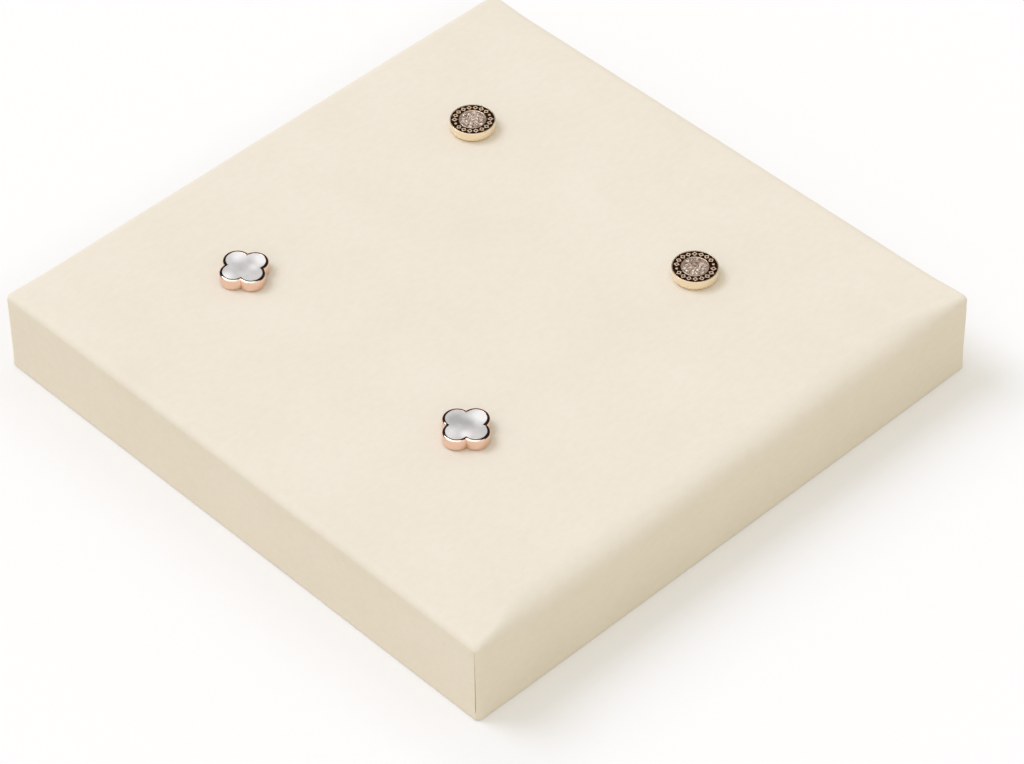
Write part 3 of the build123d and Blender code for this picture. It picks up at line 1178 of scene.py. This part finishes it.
def make_round_heads(scene):
    s, colours = scene.tray_round, scene.tray_colours
    case = "round_stud_b_case"
    radius, height = span(case).x / 2, span(case).z
    cup, plate_radius, rim, collar, floor, seat = round_cup(s, radius, height)
    marks = round_marks(s, rim, collar, floor - MARK_ROOT, height - MARK_SINK)
    border = border_fill(s, marks, rim, collar, floor, height - s.enamel_sink)
    rim_bead = add(
        bpy.ops.mesh.primitive_torus_add,
        "rim_bead",
        major_segments=96,
        minor_segments=12,
        major_radius=radius - s.rim_bead,
        minor_radius=s.rim_bead,
        location=(0, 0, height - s.rim_bead),
    )
    stones, plate = set_stones(s, plate_radius, seat, height - s.plate_sink)
    for piece in (cup, rim_bead, marks, border, plate):
        smooth(piece)
    gold = metal("yellow_gold", colours.gold, rough=0.2, metallic=0.7)
    # Painted highlight: the bright bead is nearly matt, its pale colour standing for a polished
    # reflection
    bright = metal("rim_gold_painted_highlight", colours.rim, rough=0.35, metallic=0.1)
    satin = metal("raised_gold", colours.marks, rough=0.4, metallic=0.3)
    glaze = enamel(colours)
    pale = metal("pale_gold", colours.pale, rough=0.35, metallic=0.6)
    looks = (
        ("cup", cup, gold, "yellow_gold", "case"),
        ("rim", rim_bead, bright, "yellow_gold", "case"),
        ("marks", marks, satin, "yellow_gold", "case"),
        ("border", border, glaze, "dark_enamel", "enamel"),
        ("setting", plate, pale, "pale_gold", "plate"),
        ("gems", stones, stone(colours), "clear_stone", "stones"),
    )
    dress_heads(ROUND_STUDS, (s.turn_a, s.turn_b), case, lambda stud: looks, gold)


# The clover heads


def lobe_middle(s):
    """From the head's middle to the middle of a lobe."""
    return s.tip_to_tip / 2 - s.lobe


def lobe_reach(point, s):
    """How far a point is from the middle of the nearest lobe."""
    near, far = sorted((abs(point.x), abs(point.y)))
    return hypot(far - lobe_middle(s), near)


def clover_face(name, s, inset, height):
    """A face with four round lobes, drawn by spinning a point round each lobe."""
    centre = lobe_middle(s)
    radius = s.lobe - inset
    notch = (centre + sqrt(2 * radius**2 - centre**2)) / 2  # where two lobes meet
    sweep = 2 * atan2(notch, notch - centre)
    upright = {"axis": (0, 0, 1)}
    face = add(bpy.ops.mesh.primitive_plane_add, name, size=radius, location=(0, 0, height))
    with editing(face):
        select_all()
        bpy.ops.mesh.merge(type="CENTER")
        select_all()
        bpy.ops.transform.translate(value=(notch, -notch, 0))
        bpy.ops.mesh.spin(steps=30, angle=-sweep, center=(centre, 0, height), **upright)
        select_all()
        bpy.ops.mesh.spin(steps=3, angle=3 * pi / 2, dupli=True, center=(0, 0, height), **upright)
        select_all()
        bpy.ops.mesh.remove_doubles(threshold=TOUCHING)
        select_all()
        bpy.ops.mesh.edge_face_add()
    return face


def clover_cup(s, height):
    """The case: an outside wall with a round foot, a rim and the recess for the inlay."""

    def at_rim(edge, outside):
        reaches = [lobe_reach(v.co, s) > s.lobe - s.wall / 2 for v in edge.verts]
        return as_high_as(height, edge) and all(reach is outside for reach in reaches)

    cup = clover_face("clover_cup", s, 0, 0)
    with editing(cup):
        select_all()
        extrude(height)
        face_outwards()
        pick("FACE", lambda f: as_high_as(height, f))
        bpy.ops.mesh.inset(thickness=s.wall, use_even_offset=True)
        extrude(-s.recess)
        pick("EDGE", lambda e: all(abs(v.co.z) < TOUCHING for v in e.verts) and is_sharp(e))
        round_off(s.foot, 6)
        for outside, radius in ((True, s.round), (False, s.polish)):
            pick("EDGE", lambda e: at_rim(e, outside) and is_sharp(e))
            round_off(radius, 6)
        face_outwards()
    return cup


def clover_inlay(s, height):
    """The shell: a flat slice with a softly swelling top."""
    # Width in millimetres of each ring, and its share of the swelling
    rings = ((0.03, 0.15), (0.06, 0.2), (0.12, 0.22), (0.2, 0.2), (0.3, 0.13), (0.4, 0.1))
    inlay = clover_face("clover_inlay", s, s.wall, height - s.recess)
    with editing(inlay):
        select_all()
        extrude(s.recess - s.inlay_sink)
        face_outwards()
        for width, swell in rings:
            top = max(v.co.z for v in bmesh.from_edit_mesh(inlay.data).verts)
            pick("FACE", lambda f: as_high_as(top, f))
            bpy.ops.mesh.inset(thickness=width * MM, depth=swell * s.crown, use_even_offset=True)
    return inlay


def make_clover_heads(scene):
    s, colours = scene.tray_clover, scene.tray_colours
    case = "clover_stud_b_case"
    height = span(case).z
    cup = smooth(clover_cup(s, height))
    inlay = smooth(clover_inlay(s, height), 60)
    rose = metal("rose_gold", colours.rose, rough=0.1)
    pearls = {stud: shell(stud, colours) for stud in CLOVER_STUDS}

    def looks(stud):
        return (
            ("cup", cup, rose, "rose_gold", "case"),
            ("pearl", inlay, pearls[stud], "pearl_shell", "inlay"),
        )

    dress_heads(CLOVER_STUDS, (s.turn_a, s.turn_b), case, looks, rose)


# The stage


def direction(azimuth, height):
    return Vector((cos(azimuth) * cos(height), sin(azimuth) * cos(height), sin(height)))


def make_camera(g):
    back = direction(g.azimuth - pi / 2, g.elevation)
    right = Vector((cos(g.azimuth), sin(g.azimuth), 0))
    up = back.cross(right)
    rolled_right = right * cos(g.roll) + up * sin(g.roll)
    rolled_up = up * cos(g.roll) - right * sin(g.roll)
    data = bpy.data.cameras.new("camera")
    data.lens = g.lens
    data.sensor_width = 36.0
    data.clip_start, data.clip_end = 0.01, 20.0
    camera = bpy.data.objects.new("camera", data)
    bpy.context.scene.collection.objects.link(camera)
    turn = Matrix((rolled_right, rolled_up, back)).transposed().to_4x4()
    place = Vector((g.aim_x, g.aim_y, 0)) + back * g.distance
    camera.matrix_world = Matrix.Translation(place) @ turn
    bpy.context.scene.camera = camera


def make_lamp(g):
    data = bpy.data.lights.new("key", "SUN")
    data.energy, data.color, data.angle = g.key, g.key_tint, g.key_size
    key = bpy.data.objects.new("key", data)
    bpy.context.scene.collection.objects.link(key)
    key.rotation_mode = "QUATERNION"
    key.rotation_quaternion = direction(g.key_azimuth, g.key_height).to_track_quat("Z", "Y")


def ray_kinds(tree):
    """Whether a ray comes straight from the camera, or through a reflection or a clear body."""
    path = tree.node("ShaderNodeLightPath", output="Is Camera Ray")
    outputs = path.socket.node.outputs
    glossy, clear = (Value(tree, outputs[f"Is {kind} Ray"]) for kind in ("Glossy", "Transmission"))
    return path, glossy.over(clear)


def make_world(g):
    """White in view, a soft fill, and a dark ceiling with two lights in reflections."""
    world = bpy.data.worlds.new("studio")
    bpy.context.scene.world = world
    world.use_nodes = True
    w = Finish(world.node_tree)
    camera, reflection = ray_kinds(w)
    way = w.node("ShaderNodeTexCoord", output="Generated")
    up = w.node("ShaderNodeSeparateXYZ", {}, {0: way}, output="Z")
    front = w.along(way, direction(g.azimuth - pi / 2, 0))
    panel = w.spread(w.along(way, direction(g.panel_azimuth, g.panel_height)), 0.65, 0.77)
    glow = w.spread(w.along(way, direction(g.glow_azimuth, g.glow_height)), 0.75, 0.87)
    horizon = w.spread(up, 0.10, 0.25, 1.0, 0.0) * w.spread(front, -0.1, 0.3)
    lit = (horizon.over(glow) * (1 / g.panel)).over(panel)
    mirrored = w.between(lit, g.ceiling, (g.panel,) * 3)
    fill = [c * g.fill for c in g.fill_tint]
    shade = w.between(reflection, w.between(camera, fill, (1, 1, 1)), mirrored)
    w.join(shade, world.node_tree.nodes["Background"].inputs["Color"])


def make_floor(g):
    floor = add(bpy.ops.mesh.primitive_plane_add, "floor", size=g.floor_side)
    m = Material("floor", Roughness=0.9, Specular_IOR_Level=0.0, Emission_Strength=1.0)
    camera, reflection = ray_kinds(m)
    seen = camera.over(reflection)
    # Painted shadow and painted warm bounce light: the floor in view is darker and warmer near the
    # tray, by distance from its sides alone
    sides = [m.node("ShaderNodeSeparateXYZ", {}, {0: m.place()}, output=axis) for axis in "XY"]
    away = sides[0].math("ABSOLUTE").over(sides[1].math("ABSOLUTE") + g.painted_shade_shift)
    side = CAD_BOX[1].x
    unshaded_share = m.spread(away, side + g.painted_shade_from, side + g.painted_shade_to)
    painted_floor_shade = [c * share for c, share in zip(g.floor, g.floor_painted_shade)]
    m.feed(
        Base_Color=m.between(seen, g.floor_bounce, m.between(unshaded_share, painted_floor_shade, g.floor)),
        Emission_Color=m.between(seen, (0, 0, 0), (g.floor_lift,) * 3),
    )
    floor.data.materials.append(m.material)


def set_stage(scene):
    for make in (make_camera, make_lamp, make_world, make_floor):
        make(scene.tray_stage)
    scene.view_settings.view_transform = "Standard"


# The operators and their panel


class Maker:
    """An operator that runs its own function on the scene."""

    def execute(self, context):
        self.make(context.scene)
        return {"FINISHED"}


class SetStage(Maker, bpy.types.Operator):
    """Sets the camera, the lamps and the floor"""

    bl_idname = "tray.set_stage"
    bl_label = "Stage"
    make = staticmethod(set_stage)


class DressCover(Maker, bpy.types.Operator):
    """Wraps the pad in microfibre"""

    bl_idname = "tray.dress_cover"
    bl_label = "Microfibre Cover"
    make = staticmethod(make_cover)


class DressPadding(Maker, bpy.types.Operator):
    """Makes the foam topper and the foam insert"""

    bl_idname = "tray.dress_padding"
    bl_label = "Foam Padding"
    make = staticmethod(make_padding)


class DressBase(Maker, bpy.types.Operator):
    """Makes the paper liner and finishes the board and the rails"""

    bl_idname = "tray.dress_base"
    bl_label = "Liner, Board and Rails"
    make = staticmethod(make_base)


class DressRoundStuds(Maker, bpy.types.Operator):
    """Makes the round heads with enamel border and set stones"""

    bl_idname = "tray.dress_round_studs"
    bl_label = "Round Studs"
    make = staticmethod(make_round_heads)


class DressCloverStuds(Maker, bpy.types.Operator):
    """Makes the four-lobed heads with their shell inlays"""

    bl_idname = "tray.dress_clover_studs"
    bl_label = "Clover Studs"
    make = staticmethod(make_clover_heads)


OPERATORS = (SetStage, DressCover, DressPadding, DressBase, DressRoundStuds, DressCloverStuds)


class TrayPanel(bpy.types.Panel):
    """Lists the operators and the sizes"""

    bl_idname = "VIEW3D_PT_earring_tray"
    bl_label = "Earring Tray"
    bl_space_type = "VIEW_3D"
    bl_region_type = "UI"
    bl_category = "Tray"

    def draw(self, context):
        for operator in OPERATORS:
            self.layout.operator(operator.bl_idname)
        for group in GROUPS:
            box = self.layout.box()
            values = getattr(context.scene, group)
            for name in values.__annotations__:
                box.prop(values, name)


def register():
    for group in GROUPS.values():
        bpy.utils.register_class(group)
    for name, group in GROUPS.items():
        setattr(bpy.types.Scene, name, PointerProperty(type=group))
    for operator in (*OPERATORS, TrayPanel):
        bpy.utils.register_class(operator)


def unregister():
    for operator in (*OPERATORS, TrayPanel):
        bpy.utils.unregister_class(operator)
    for name, group in GROUPS.items():
        delattr(bpy.types.Scene, name)
        bpy.utils.unregister_class(group)


def main():
    register()
    bpy.ops.tray.set_stage()
    bpy.ops.tray.dress_cover()
    bpy.ops.tray.dress_padding()
    bpy.ops.tray.dress_base()
    bpy.ops.tray.dress_round_studs()
    bpy.ops.tray.dress_clover_studs()


if __name__ == "__main__":
    main()
